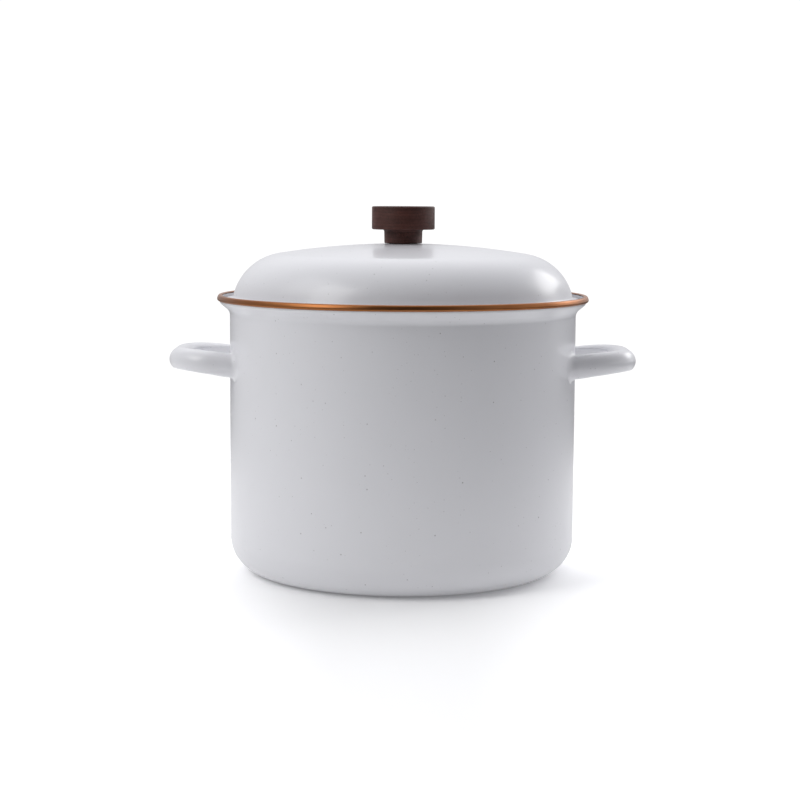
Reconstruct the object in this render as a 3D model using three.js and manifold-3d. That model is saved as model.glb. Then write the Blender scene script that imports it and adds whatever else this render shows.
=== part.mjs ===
// Water bath canner: a round enamelled steel stockpot with a copper-coloured rim band, two welded
// loop handles, a domed lid with a turned walnut knob, and a loose wire rack that keeps jars off
// the base. Millimetres, +Z up. The origin is the centre of the circle that the pot stands on,
// and +X points out through the right-hand handle.

import * as THREE from 'three';
import { mergeVertices } from 'three/addons/utils/BufferGeometryUtils.js';
import Module from 'manifold-3d';

// ---------- driving dimensions ----------

const GAP = 0.3; // left between pieces that touch

// Pot body, outside surface.
const POT_R = 120;
const POT_SHEET = 1.4;
const BASE_CORNER_R = 24.4;
const BASE_RISE = 1.0; // the middle of the base is pressed up, so it stands on a ring
const BASE_PAN_R = 74;
const FOOT_INNER_R = 77;

// Mouth: the wall curves out in a cove, runs up a conical flare, then turns up into the rim band.
const COVE_R = 6.5;
const COVE_START_Z = 178.5;
const COVE_TURN = THREE.MathUtils.degToRad(50);
const FLARE_LENGTH = 4.8;
const UPTURN_R = 3.2;
const LIP_TOP_Z = 191.6;

// Rim band: a strip rolled over the lip, open underneath and on the inside.
const BAND_CENTRE_Z = 190.6;
const BAND_R = 2.22;
const BAND_SQUARENESS = 2.8; // 2 for a round bead, more for a flatter outer face
const BAND_TILT = THREE.MathUtils.degToRad(18); // how far the flatter face leans back
const BAND_SHEET = 0.5;
const BAND_OUTER_END = THREE.MathUtils.degToRad(-50); // its section runs from outside and below the lip
const BAND_INNER_END = THREE.MathUtils.degToRad(125); // to just past the lip's top

// Lid, outside surface.
const LID_SHEET = 1.2;
const LID_TOP_Z = 228.2;
const CROWN_R = 540;
const SHOULDER_START_R = 86.6;
const SHOULDER_R = 38.1;
const SHOULDER_END = THREE.MathUtils.degToRad(76);
const LID_FOOT_FILLET_R = 2.5;
const FLANGE_SLOPE = THREE.MathUtils.degToRad(12);
const FLANGE_WIDTH = 3.31;
const LID_EDGE_R = 1.4;
const LID_SKIRT_Z = 187.2;
const LID_HOLE_R = 3.0;

// Knob, one turned piece: a disc on a neck.
const KNOB_DISC_R = 21.8;
const KNOB_DISC_Z = 238;
const KNOB_TOP_Z = 253.9;
const KNOB_NECK_R = 13.1;
const KNOB_CHAMFER = 0.8;
const KNOB_BORE_R = 4.2;
const KNOB_BORE_TOP_Z = 246.5;
const INSERT_TOP_Z = 245; // short of the bore's end
const COLLAR_R = 5.3;
const COLLAR_T = 1.0;

// M5 fixing through the lid.
const SCREW_R = 2.5;
const SCREW_HEAD_R = 4.9;
const SCREW_HEAD_T = 2.9;
const SCREW_FACE_R = 3.43; // the head's flat face, inside its rounding
const SCREW_FACE_DROP = 1.16; // depth of that rounding
const SCREW_END_Z = 243;
const SCREW_POINT_R = 1.7;
const SCREW_POINT_LENGTH = 1;
const SLOT_W = 1.2;
const SLOT_DEPTH = 1.2;
const INSERT_R = 3.9;
const WASHER_R = 7.5;
const GASKET_R = 8;
const WASHER_T = 1.2;

// Loop handles: a leaning strap with a rounded outer face.
const HANDLE_STRAP_H = 16.6;
const HANDLE_CROWN = 8; // bulge of the outer face
const HANDLE_BACK = 2; // depth of the nearly flat inner face
const HANDLE_BACK_FLATNESS = 0.4; // power of the cosine, 0 for a flat back
const HANDLE_REACH = 153.2; // strap's centre at the grip
const HANDLE_HALF_SPAN = 34; // strap's centre on each arm
const HANDLE_CORNER_R = 24;
const HANDLE_START_X = 106;
const HANDLE_GRIP_Z = 148.6;
const HANDLE_ROOT_Z = 145.6;
const HANDLE_GRIP_LEAN = THREE.MathUtils.degToRad(50);
const HANDLE_ROOT_LEAN = THREE.MathUtils.degToRad(13);

// Rack: concentric wire rings under radial wires, on bent wire feet.
const RING_WIRE_R = 2;
const SPOKE_WIRE_R = 1.6;
const RING_RADII = [104, 76, 47, 18];
const RING_Z = 17.4;
const SPOKE_COUNT = 8;
const SPOKE_FROM_R = 16;
const SPOKE_TO_R = 106;
const FOOT_COUNT = 4;
const FOOT_R = 92;
const FOOT_HALF_W = 13;
const FOOT_LEG = { lean: 0.6, drop: 4 }; // the straight part below the ring
const FOOT_KNEE = { out: 4, in: 1, up: 3.2 }; // from the middle of the foot, and in from its width
const FOOT_TOE = { out: 0.6, in: 5, up: 0.2 };

// Facets.
const ROUND_STEPS = 48;
const KNOB_STEPS = 32;
const SMALL_STEPS = 20;
const BASE_CORNER_STEPS = 5;
const COVE_STEPS = 4;
const UPTURN_STEPS = 3;
const BAND_STEPS = 10;
const CROWN_STEPS = 4;
const SHOULDER_STEPS = 7;
const LID_EDGE_STEPS = 2;
const HANDLE_STEPS = 26; // along the strap
const STRAP_STEPS = 6; // across each face of the strap
const RING_LEAST_STEPS = 12;
const RING_STEP = 3.2; // more radius that earns a ring one more facet
const FOOT_STEPS = 16;
const WIRE_SIDES = 6;
const SPOKE_SIDES = 8;

const wasm = await Module();
wasm.setup();

// ---------- materials ----------

const finish = (color, roughness, metalness) => (
  new THREE.MeshStandardMaterial({ color, roughness, metalness })
);
const enamel = finish(0xe4e2e0, 0.28, 0);
const copper = finish(0xb4713d, 0.25, 1);
const walnut = finish(0x4a332c, 0.55, 0);
const brass = finish(0xc2a25a, 0.35, 1);
const steel = finish(0xb9bbbd, 0.35, 1);
const silicone = finish(0x8e8f91, 0.7, 0);

// ---------- shape helpers ----------

const at = (radius, height) => new THREE.Vector2(radius, height);

// Points on an arc about (cx, cy), from one angle to another, both ends included.
function arc(cx, cy, radius, from, to, steps) {
  return Array.from({ length: steps + 1 }, (_, i) => {
    const angle = from + ((to - from) * i) / steps;
    return at(cx + radius * Math.cos(angle), cy + radius * Math.sin(angle));
  });
}

// Merges shared vertices and drops the triangles that collapse on the axis.
function welded(geometry) {
  geometry.deleteAttribute('normal');
  geometry.deleteAttribute('uv');
  const merged = mergeVertices(geometry, 1e-4);
  const index = merged.index.array;
  const kept = [];
  for (let i = 0; i < index.length; i += 3) {
    const [a, b, c] = [index[i], index[i + 1], index[i + 2]];
    if (a !== b && b !== c && c !== a) kept.push(a, b, c);
  }
  merged.setIndex(kept);
  return merged;
}

// A solid of revolution about +Z from (radius, height) points. An outline that doesn't start and
// end on the axis is closed on itself.
function turned(outline, steps) {
  const points = THREE.ShapeUtils.area(outline) < 0 ? [...outline].reverse() : [...outline];
  if (points[0].x > 0) points.push(points[0].clone());
  const geometry = new THREE.LatheGeometry(points, steps);
  geometry.rotateX(Math.PI / 2);
  return welded(geometry);
}

// The closed section of a pressed sheet: the outline, then the outline offset to its left.
function sheet(outline, thickness) {
  const inner = outline.map((point, i) => {
    const before = outline[Math.max(i - 1, 0)];
    const after = outline[Math.min(i + 1, outline.length - 1)];
    const into = (i ? point.clone().sub(before) : after.clone().sub(point)).normalize();
    const out = (point === after ? into.clone() : after.clone().sub(point)).normalize();
    const tangent = into.clone().add(out).normalize();
    const mitre = thickness / tangent.dot(into);
    return at(point.x - tangent.y * mitre, point.y + tangent.x * mitre);
  });
  return [...outline, ...inner.reverse()];
}

// Stitches rings of points, all of one length, into a closed body with flat ends. Each ring runs
// clockwise to someone looking back along the path from its far end.
function lofted(rings) {
  const count = rings[0].length;
  const index = [];
  for (let r = 0; r < rings.length - 1; r += 1) {
    for (let k = 0; k < count; k += 1) {
      const a = r * count + k;
      const b = r * count + ((k + 1) % count);
      index.push(a, b + count, b, a, a + count, b + count);
    }
  }
  const last = (rings.length - 1) * count;
  for (let k = 1; k < count - 1; k += 1) {
    index.push(0, k, k + 1);
    index.push(last, last + k + 1, last + k);
  }
  const geometry = new THREE.BufferGeometry().setFromPoints(rings.flat());
  geometry.setIndex(index);
  return geometry;
}

function toSolid(geometry) {
  return new wasm.Manifold(new wasm.Mesh({
    numProp: 3,
    vertProperties: new Float32Array(geometry.attributes.position.array),
    triVerts: new Uint32Array(geometry.index.array),
  }));
}

function cutAway(body, tool) {
  const mesh = toSolid(body).subtract(toSolid(tool)).getMesh();
  const geometry = new THREE.BufferGeometry();
  geometry.setAttribute('position', new THREE.BufferAttribute(mesh.vertProperties, 3));
  geometry.setIndex(new THREE.BufferAttribute(mesh.triVerts, 1));
  return geometry;
}

function piece(name, geometry, material) {
  const mesh = new THREE.Mesh(geometry, material);
  mesh.name = name;
  return mesh;
}

// ---------- pot ----------

const coveCentreR = POT_R + COVE_R;
const coveEnd = at(
  coveCentreR - COVE_R * Math.cos(COVE_TURN),
  COVE_START_Z + COVE_R * Math.sin(COVE_TURN),
);
const flareEnd = at(
  coveEnd.x + FLARE_LENGTH * Math.sin(COVE_TURN),
  coveEnd.y + FLARE_LENGTH * Math.cos(COVE_TURN),
);
const upturnCentreR = flareEnd.x - UPTURN_R * Math.cos(COVE_TURN);
const upturnCentreZ = flareEnd.y + UPTURN_R * Math.sin(COVE_TURN);
const lipR = upturnCentreR + UPTURN_R;
const bandCentreR = lipR - POT_SHEET / 2;

function potShell() {
  const cornerCentreR = POT_R - BASE_CORNER_R;
  const outside = [
    at(0, BASE_RISE),
    at(BASE_PAN_R, BASE_RISE),
    at(FOOT_INNER_R, 0),
    ...arc(cornerCentreR, BASE_CORNER_R, BASE_CORNER_R, -Math.PI / 2, 0, BASE_CORNER_STEPS),
    ...arc(coveCentreR, COVE_START_Z, COVE_R, Math.PI, Math.PI - COVE_TURN, COVE_STEPS),
    ...arc(upturnCentreR, upturnCentreZ, UPTURN_R, -COVE_TURN, 0, UPTURN_STEPS),
    at(lipR, LIP_TOP_Z),
  ];
  return turned(sheet(outside, POT_SHEET), ROUND_STEPS);
}

// Round towards the pot, flatter on its outer face.
function bead(radius, from, to, steps) {
  return arc(0, 0, 1, from, to, steps).map(({ x, y }) => {
    const across = x * Math.cos(BAND_TILT) + y * Math.sin(BAND_TILT);
    const along = y * Math.cos(BAND_TILT) - x * Math.sin(BAND_TILT);
    const power = across > 0 ? BAND_SQUARENESS : 2;
    const reach = radius / (Math.abs(across) ** power + Math.abs(along) ** power) ** (1 / power);
    return at(bandCentreR + x * reach, BAND_CENTRE_Z + y * reach);
  });
}

function rimBand() {
  const outside = bead(BAND_R, BAND_OUTER_END, BAND_INNER_END, BAND_STEPS);
  const inside = bead(BAND_R - BAND_SHEET, BAND_INNER_END, BAND_OUTER_END, BAND_STEPS - 1);
  return turned([...outside, ...inside], ROUND_STEPS);
}

// The strap's section: a bulging outer face (+u) and a nearly flat inner one, v along its height.
function strapSection() {
  const outer = Array.from({ length: STRAP_STEPS + 1 }, (_, i) => {
    const angle = -Math.PI / 2 + (Math.PI * i) / STRAP_STEPS;
    return { u: HANDLE_CROWN * Math.cos(angle), v: (HANDLE_STRAP_H / 2) * Math.sin(angle) };
  });
  const inner = Array.from({ length: STRAP_STEPS - 1 }, (_, i) => {
    const angle = Math.PI / 2 + (Math.PI * (i + 1)) / STRAP_STEPS;
    const depth = HANDLE_BACK * Math.abs(Math.cos(angle)) ** HANDLE_BACK_FLATNESS;
    return { u: -depth, v: (HANDLE_STRAP_H / 2) * Math.sin(angle) };
  });
  return [...outer, ...inner];
}

// The right-hand handle. The strap leans in at the top, less so where it meets the wall.
function loopHandle() {
  const cornerX = HANDLE_REACH - HANDLE_CORNER_R;
  const cornerY = HANDLE_HALF_SPAN - HANDLE_CORNER_R;
  const plan = new THREE.Path();
  plan.moveTo(HANDLE_START_X, -HANDLE_HALF_SPAN);
  plan.lineTo(cornerX, -HANDLE_HALF_SPAN);
  plan.absarc(cornerX, -cornerY, HANDLE_CORNER_R, -Math.PI / 2, 0, false);
  plan.absarc(cornerX, cornerY, HANDLE_CORNER_R, 0, Math.PI / 2, false);
  plan.lineTo(HANDLE_START_X, HANDLE_HALF_SPAN);

  const section = strapSection();
  const rings = Array.from({ length: HANDLE_STEPS + 1 }, (_, i) => {
    const along = i / HANDLE_STEPS;
    const centre = plan.getPointAt(along);
    const tangent = plan.getTangentAt(along);
    const outward = new THREE.Vector3(tangent.y, -tangent.x, 0);
    const blend = THREE.MathUtils.smoothstep(centre.x, HANDLE_START_X, HANDLE_REACH);
    const lean = THREE.MathUtils.lerp(HANDLE_ROOT_LEAN, HANDLE_GRIP_LEAN, blend);
    const height = THREE.MathUtils.lerp(HANDLE_ROOT_Z, HANDLE_GRIP_Z, blend);
    return section.map(({ u, v }) => new THREE.Vector3(centre.x, centre.y, height)
      .addScaledVector(outward, u * Math.cos(lean) - v * Math.sin(lean))
      .add(new THREE.Vector3(0, 0, u * Math.sin(lean) + v * Math.cos(lean))));
  });

  const wallR = POT_R + GAP;
  const below = HANDLE_ROOT_Z - 2 * HANDLE_STRAP_H;
  const above = HANDLE_ROOT_Z + 2 * HANDLE_STRAP_H;
  const wall = turned([at(0, below), at(wallR, below), at(wallR, above), at(0, above)], ROUND_STEPS);
  return cutAway(lofted(rings), wall);
}

// ---------- lid ----------

function lidShell() {
  const startAngle = Math.asin(SHOULDER_START_R / CROWN_R);
  const crownCentreZ = LID_TOP_Z - CROWN_R;
  const crown = arc(
    0, crownCentreZ, CROWN_R,
    Math.PI / 2 - startAngle, Math.PI / 2 - LID_HOLE_R / CROWN_R, CROWN_STEPS,
  );

  const shoulderCentre = at(
    (CROWN_R - SHOULDER_R) * Math.sin(startAngle),
    crownCentreZ + (CROWN_R - SHOULDER_R) * Math.cos(startAngle),
  );
  const shoulder = arc(
    shoulderCentre.x, shoulderCentre.y, SHOULDER_R,
    Math.PI / 2 - SHOULDER_END, Math.PI / 2 - startAngle, SHOULDER_STEPS,
  );

  // Down the dome's foot: a concave fillet, the sloping flange, then the edge turned down.
  const foot = shoulder[0];
  const filletCentre = at(
    foot.x + LID_FOOT_FILLET_R * Math.sin(SHOULDER_END),
    foot.y + LID_FOOT_FILLET_R * Math.cos(SHOULDER_END),
  );
  const fillet = arc(
    filletCentre.x, filletCentre.y, LID_FOOT_FILLET_R,
    (3 * Math.PI) / 2 - FLANGE_SLOPE, (3 * Math.PI) / 2 - SHOULDER_END, LID_EDGE_STEPS,
  );
  const flangeEnd = at(
    fillet[0].x + FLANGE_WIDTH * Math.cos(FLANGE_SLOPE),
    fillet[0].y - FLANGE_WIDTH * Math.sin(FLANGE_SLOPE),
  );
  const edge = arc(
    flangeEnd.x - LID_EDGE_R * Math.sin(FLANGE_SLOPE),
    flangeEnd.y - LID_EDGE_R * Math.cos(FLANGE_SLOPE),
    LID_EDGE_R, 0, Math.PI / 2 - FLANGE_SLOPE, LID_EDGE_STEPS,
  );
  const outside = [
    at(edge[0].x, LID_SKIRT_Z), ...edge, ...fillet, ...shoulder.slice(1), ...crown.slice(1),
  ];
  return turned(sheet(outside, LID_SHEET), ROUND_STEPS);
}

const lidUnderZ = LID_TOP_Z - LID_SHEET;
const gasketTopZ = lidUnderZ - GAP;
const washerTopZ = gasketTopZ - WASHER_T - GAP;
const screwHeadTopZ = washerTopZ - WASHER_T - GAP;
const knobBaseZ = LID_TOP_Z + GAP;
const collarBaseZ = knobBaseZ + GAP;

function knob() {
  const neckTopZ = KNOB_DISC_Z - 2 * KNOB_CHAMFER;
  return turned([
    at(0, KNOB_BORE_TOP_Z),
    at(KNOB_BORE_R, KNOB_BORE_TOP_Z),
    at(KNOB_BORE_R, collarBaseZ + COLLAR_T + GAP),
    at(COLLAR_R + GAP, collarBaseZ + COLLAR_T + GAP),
    at(COLLAR_R + GAP, knobBaseZ),
    at(KNOB_NECK_R, knobBaseZ),
    at(KNOB_NECK_R, neckTopZ),
    at(KNOB_NECK_R + KNOB_CHAMFER, KNOB_DISC_Z),
    at(KNOB_DISC_R - KNOB_CHAMFER, KNOB_DISC_Z),
    at(KNOB_DISC_R, KNOB_DISC_Z + KNOB_CHAMFER),
    at(KNOB_DISC_R, KNOB_TOP_Z - KNOB_CHAMFER),
    at(KNOB_DISC_R - KNOB_CHAMFER, KNOB_TOP_Z),
    at(0, KNOB_TOP_Z),
  ], KNOB_STEPS);
}

function knobInsert() {
  const boreR = SCREW_R + GAP;
  return turned([
    at(boreR, collarBaseZ),
    at(COLLAR_R, collarBaseZ),
    at(COLLAR_R, collarBaseZ + COLLAR_T),
    at(INSERT_R, collarBaseZ + COLLAR_T),
    at(INSERT_R, INSERT_TOP_Z),
    at(boreR, INSERT_TOP_Z),
  ], SMALL_STEPS);
}

function flatRing(outerR, topZ, thickness) {
  const holeR = SCREW_R + 2 * GAP;
  return turned([
    at(holeR, topZ - thickness), at(outerR, topZ - thickness), at(outerR, topZ), at(holeR, topZ),
  ], SMALL_STEPS);
}

// Pan head downwards, with a straight slot across it.
function knobScrew() {
  const headBottomZ = screwHeadTopZ - SCREW_HEAD_T;
  const body = turned([
    at(0, headBottomZ),
    at(SCREW_FACE_R, headBottomZ),
    at(SCREW_HEAD_R, headBottomZ + SCREW_FACE_DROP),
    at(SCREW_HEAD_R, screwHeadTopZ),
    at(SCREW_R, screwHeadTopZ),
    at(SCREW_R, SCREW_END_Z - SCREW_POINT_LENGTH),
    at(SCREW_POINT_R, SCREW_END_Z),
    at(0, SCREW_END_Z),
  ], SMALL_STEPS);
  const slot = new THREE.BoxGeometry(3 * SCREW_HEAD_R, SLOT_W, 2 * SLOT_DEPTH);
  slot.translate(0, 0, headBottomZ);
  return cutAway(body, welded(slot));
}

// ---------- rack ----------

const ringTopZ = RING_Z + RING_WIRE_R;
const potFloorZ = POT_SHEET;

function rackRing(radius) {
  const steps = Math.round(RING_LEAST_STEPS + radius / RING_STEP);
  return welded(new THREE.TorusGeometry(radius, RING_WIRE_R, WIRE_SIDES, steps));
}

function rackSpoke() {
  const length = SPOKE_TO_R - SPOKE_FROM_R;
  const geometry = new THREE.CylinderGeometry(SPOKE_WIRE_R, SPOKE_WIRE_R, length, SPOKE_SIDES);
  geometry.rotateZ(Math.PI / 2);
  geometry.translate((SPOKE_FROM_R + SPOKE_TO_R) / 2, 0, ringTopZ + GAP + SPOKE_WIRE_R);
  return welded(geometry);
}

// A wire bent into a U: its ends meet the underside of the outer ring, and its middle lies on the
// flat of the pot's floor.
function rackFoot() {
  const endR = Math.sqrt(RING_RADII[0] ** 2 - FOOT_HALF_W ** 2);
  const topZ = RING_Z - RING_WIRE_R - GAP;
  const bottomZ = potFloorZ + GAP + RING_WIRE_R;
  const half = [
    [endR, FOOT_HALF_W, topZ],
    [endR - FOOT_LEG.lean, FOOT_HALF_W, topZ - FOOT_LEG.drop],
    [FOOT_R + FOOT_KNEE.out, FOOT_HALF_W - FOOT_KNEE.in, bottomZ + FOOT_KNEE.up],
    [FOOT_R + FOOT_TOE.out, FOOT_HALF_W - FOOT_TOE.in, bottomZ + FOOT_TOE.up],
  ];
  const route = [
    ...half.map(([x, y, z]) => new THREE.Vector3(x, -y, z)),
    new THREE.Vector3(FOOT_R, 0, bottomZ),
    ...half.reverse().map(([x, y, z]) => new THREE.Vector3(x, y, z)),
  ];
  const wire = new THREE.Shape().absarc(0, 0, RING_WIRE_R, 0, 2 * Math.PI, false);
  const section = new THREE.Shape(wire.getSpacedPoints(WIRE_SIDES).slice(0, -1));
  return welded(new THREE.ExtrudeGeometry(section, {
    steps: FOOT_STEPS,
    bevelEnabled: false,
    extrudePath: new THREE.CatmullRomCurve3(route),
  }));
}

// ---------- assembly ----------

const canner = new THREE.Group();

const pot = new THREE.Group();
pot.add(piece('pot_shell', potShell(), enamel));
pot.add(piece('rim_band', rimBand(), copper));
const handleShape = loopHandle();
const rightHandle = piece('handle_right', handleShape, enamel);
const leftHandle = piece('handle_left', handleShape, enamel);
leftHandle.rotation.z = Math.PI;
pot.add(rightHandle, leftHandle);

const lid = new THREE.Group();
lid.add(piece('lid_shell', lidShell(), enamel));
lid.add(piece('knob', knob(), walnut));
lid.add(piece('knob_insert', knobInsert(), brass));
lid.add(piece('knob_screw', knobScrew(), steel));
lid.add(piece('knob_washer', flatRing(WASHER_R, washerTopZ, WASHER_T), steel));
lid.add(piece('knob_gasket', flatRing(GASKET_R, gasketTopZ, WASHER_T), silicone));

const rack = new THREE.Group();
const ringNames = ['rack_outer_ring', 'rack_second_ring', 'rack_third_ring', 'rack_hub_ring'];
RING_RADII.forEach((radius, i) => {
  const ring = piece(ringNames[i], rackRing(radius), steel);
  ring.position.z = RING_Z;
  rack.add(ring);
});
const spokeShape = rackSpoke();
for (let i = 0; i < SPOKE_COUNT; i += 1) {
  const spoke = piece(`rack_spoke_${i + 1}`, spokeShape, steel);
  spoke.rotation.z = ((i + 0.5) * 2 * Math.PI) / SPOKE_COUNT;
  rack.add(spoke);
}
const footShape = rackFoot();
for (let i = 0; i < FOOT_COUNT; i += 1) {
  const foot = piece(`rack_foot_${i + 1}`, footShape, steel);
  foot.rotation.z = (i * 2 * Math.PI) / FOOT_COUNT;
  rack.add(foot);
}

canner.add(pot, lid, rack);

export default canner;
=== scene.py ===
"""Looks of the water bath canner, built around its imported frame. Metres, +Z up."""

import math

import bmesh
import bpy
from mathutils import Matrix, Vector


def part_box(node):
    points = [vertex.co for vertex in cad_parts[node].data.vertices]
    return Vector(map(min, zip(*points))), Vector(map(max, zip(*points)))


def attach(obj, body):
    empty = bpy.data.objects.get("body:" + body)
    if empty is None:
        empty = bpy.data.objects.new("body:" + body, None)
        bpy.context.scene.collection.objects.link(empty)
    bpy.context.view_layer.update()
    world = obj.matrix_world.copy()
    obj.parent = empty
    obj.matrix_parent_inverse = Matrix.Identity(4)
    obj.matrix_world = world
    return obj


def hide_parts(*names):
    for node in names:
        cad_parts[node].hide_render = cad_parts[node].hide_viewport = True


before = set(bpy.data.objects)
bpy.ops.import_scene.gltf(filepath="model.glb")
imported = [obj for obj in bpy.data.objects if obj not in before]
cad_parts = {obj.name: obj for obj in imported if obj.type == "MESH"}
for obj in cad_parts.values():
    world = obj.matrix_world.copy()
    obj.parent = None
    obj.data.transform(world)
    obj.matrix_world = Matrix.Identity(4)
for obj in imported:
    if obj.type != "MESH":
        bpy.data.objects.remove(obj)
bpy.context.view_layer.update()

MM = 0.001
ON_AXIS = 1e-9  # a radius below this lies on the axis
MERGE_DISTANCE = 1e-7
SHARP_ANGLE = math.radians(42)
ROUND_STEPS = 288  # facets round the pot, band and lid
KNOB_STEPS = 160
SMALL_STEPS = 64
CORNER_STEPS = 24  # sections round a corner of a handle
ARM_STEPS = 30
GRIP_STEPS = 12
WIRE_SIDES = 20
CAP_STEPS = 6  # rounds off a wire's end
CAP_TIP_R = 1e-6

# Driving dimensions of the shapes. Their extents come from the frame.

# The pot: a base with a raised pan, a straight wall, then a cove, a cone and an upturned lip.
POT_R = 120 * MM
POT_SHEET = 1.4 * MM
BASE_CORNER_R = 24.4 * MM
BASE_RISE = 1.0 * MM
BASE_PAN_R = 74 * MM
BASE_EASE = 0.7 * MM  # softens both ends of the step between the pan and the foot
FOOT_INNER_R = 77 * MM
COVE_R = 6.5 * MM
COVE_START_Z = 178.5 * MM
COVE_TURN = math.radians(50)
FLARE_LENGTH = 4.8 * MM
UPTURN_R = 3.2 * MM

# The strip rolled over the lip; its ends are angles round its section, 0 pointing outwards.
BAND_SQUARENESS = 2.8  # 2 for a round bead, more for a flatter outer face
BAND_TILT = math.radians(18)  # how far the flatter face leans back
BAND_SHEET = 0.5 * MM
BAND_OUTER_END = math.radians(-50)
BAND_INNER_END = math.radians(125)

# The lid: a crown, a rounder shoulder, a fillet, a sloping flange and a turned-down edge.
LID_SHEET = 1.2 * MM
CROWN_R = 540 * MM
SHOULDER_START_R = 86.6 * MM
SHOULDER_R = 38.1 * MM
SHOULDER_END = math.radians(76)
LID_FOOT_FILLET_R = 2.5 * MM
FLANGE_SLOPE = math.radians(12)
FLANGE_WIDTH = 3.31 * MM
LID_EDGE_R = 1.4 * MM
LID_HOLE_R = 3.0 * MM

# The knob and what holds it.
KNOB_NECK_R = 13.1 * MM
KNOB_NECK_TOP = 9.5 * MM  # above the knob's base
KNOB_ROUNDING = 1.0 * MM
KNOB_COVE_R = 1.6 * MM
KNOB_CLEARANCE = 0.3 * MM
INSERT_R = 3.9 * MM
INSERT_BORE_R = 2.8 * MM
INSERT_COLLAR_H = 1.0 * MM
INSERT_CHAMFER = 0.2 * MM
INSERT_PITCH = 2.0 * MM
INSERT_THREAD = 0.7 * MM
SCREW_SHANK_R = 2.5 * MM
SCREW_RECESS_R = 1.25 * MM
SCREW_RECESS_DEPTH = 0.9 * MM
SCREW_HEAD_ROUNDING = 1.7 * MM
SCREW_PITCH = 0.8 * MM
SCREW_THREAD = 0.45 * MM
WASHER_BORE_R = 3.1 * MM
WASHER_ROUNDING = 0.35 * MM

# The handles: a strap that leans further back from its roots to its grip.
STRAP_H = 16.6 * MM
STRAP_CROWN = 8 * MM
STRAP_BACK = 2 * MM
HANDLE_REACH = 153.2 * MM
HANDLE_HALF_SPAN = 34 * MM
HANDLE_CORNER_R = 24 * MM
HANDLE_START_X = 106 * MM
HANDLE_GRIP_Z = 148.6 * MM
HANDLE_ROOT_Z = 145.6 * MM
HANDLE_GRIP_LEAN = math.radians(50)
HANDLE_ROOT_LEAN = math.radians(13)
WELD_FILLET_R = 3.5 * MM

# The rack.
RING_WIRE_R = 2.0 * MM
SPOKE_WIRE_R = 1.6 * MM
RACK_RINGS = ["rack_outer_ring", "rack_second_ring", "rack_third_ring", "rack_hub_ring"]
SPOKE_COUNT = 8
FOOT_COUNT = 4
SPOKE_FROM_R = 16.8 * MM
SPOKE_TO_R = 105.2 * MM
FOOT_HALF_W = 13 * MM
FOOT_MIDDLE_R = 92 * MM
WELD_BEAD_R = 1.9 * MM
WELD_BEAD_HALF_H = 1.1 * MM


# ---------- outlines ----------


def arc(cx, cz, radius, start, end, steps):
    """Points on an arc, both ends included."""
    angles = [start + (end - start) * i / steps for i in range(steps + 1)]
    return [(cx + radius * math.cos(a), cz + radius * math.sin(a)) for a in angles]


def sheet(outline, thickness):
    """The closed section of a pressed sheet: the outline, then its offset to the left."""
    points = [Vector(p) for p in outline]
    inner = []
    for i, point in enumerate(points):
        into = (point - points[i - 1] if i else points[1] - point).normalized()
        out = (points[i + 1] - point if i + 1 < len(points) else into).normalized()
        tangent = (into + out).normalized()
        mitre = thickness / max(tangent.dot(into), 0.5)
        inner.append((point.x - tangent.y * mitre, point.y + tangent.x * mitre))
    return [tuple(p) for p in points] + inner[::-1]


def rounded(outline, radius, steps=6):
    """The closed outline with each corner replaced by a small arc."""
    result = []
    count = len(outline)
    for i, corner in enumerate(outline):
        here = Vector(corner)
        before = Vector(outline[i - 1]) - here
        after = Vector(outline[(i + 1) % count]) - here
        reach = min(radius, before.length / 2, after.length / 2)
        start = here + before.normalized() * reach
        end = here + after.normalized() * reach
        for k in range(steps + 1):
            t = k / steps
            point = start * (1 - t) ** 2 + here * 2 * t * (1 - t) + end * t**2
            result.append(tuple(point))
    return result


# ---------- meshes ----------


def new_piece(name, vertices, faces):
    """A smooth-shaded object with its faces turned outwards."""
    mesh = bpy.data.meshes.new(name)
    mesh.from_pydata([tuple(v) for v in vertices], [], faces)
    work = bmesh.new()
    work.from_mesh(mesh)
    bmesh.ops.remove_doubles(work, verts=work.verts, dist=MERGE_DISTANCE)
    bmesh.ops.recalc_face_normals(work, faces=work.faces)
    work.to_mesh(mesh)
    work.free()
    mesh.shade_smooth()
    mesh.set_sharp_from_angle(angle=SHARP_ANGLE)
    piece = bpy.data.objects.new(name, mesh)
    bpy.context.scene.collection.objects.link(piece)
    return piece


def lathe(name, outline, steps):
    """Revolves (radius, height) points about +Z. An outline off the axis closes on itself."""
    closed = outline[0][0] > ON_AXIS
    vertices = []
    for radius, height in outline:
        for k in range(steps):
            angle = 2 * math.pi * k / steps
            vertices.append((radius * math.cos(angle), radius * math.sin(angle), height))
    faces = []
    rows = len(outline)
    for i in range(rows if closed else rows - 1):
        j = (i + 1) % rows
        for k in range(steps):
            n = (k + 1) % steps
            corners = [i * steps + k, i * steps + n, j * steps + n, j * steps + k]
            if outline[i][0] < ON_AXIS:
                corners = [i * steps, j * steps + n, j * steps + k]
            elif outline[j][0] < ON_AXIS:
                corners = [i * steps + k, i * steps + n, j * steps]
            faces.append(corners)
    used = sorted({c for f in faces for c in f})
    place = {c: i for i, c in enumerate(used)}
    return new_piece(name, [vertices[c] for c in used], [[place[c] for c in f] for f in faces])


def lofted(name, rings, closed=False):
    """Joins rings of points into a tube, with flat ends unless it closes on itself."""
    count = len(rings[0])
    faces = []
    for r in range(len(rings) if closed else len(rings) - 1):
        s = (r + 1) % len(rings)
        for k in range(count):
            n = (k + 1) % count
            faces.append([r * count + k, r * count + n, s * count + n, s * count + k])
    if not closed:
        faces.append(list(range(count)))
        faces.append([(len(rings) - 1) * count + k for k in range(count)])
    return new_piece(name, [p for ring in rings for p in ring], faces)


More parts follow.
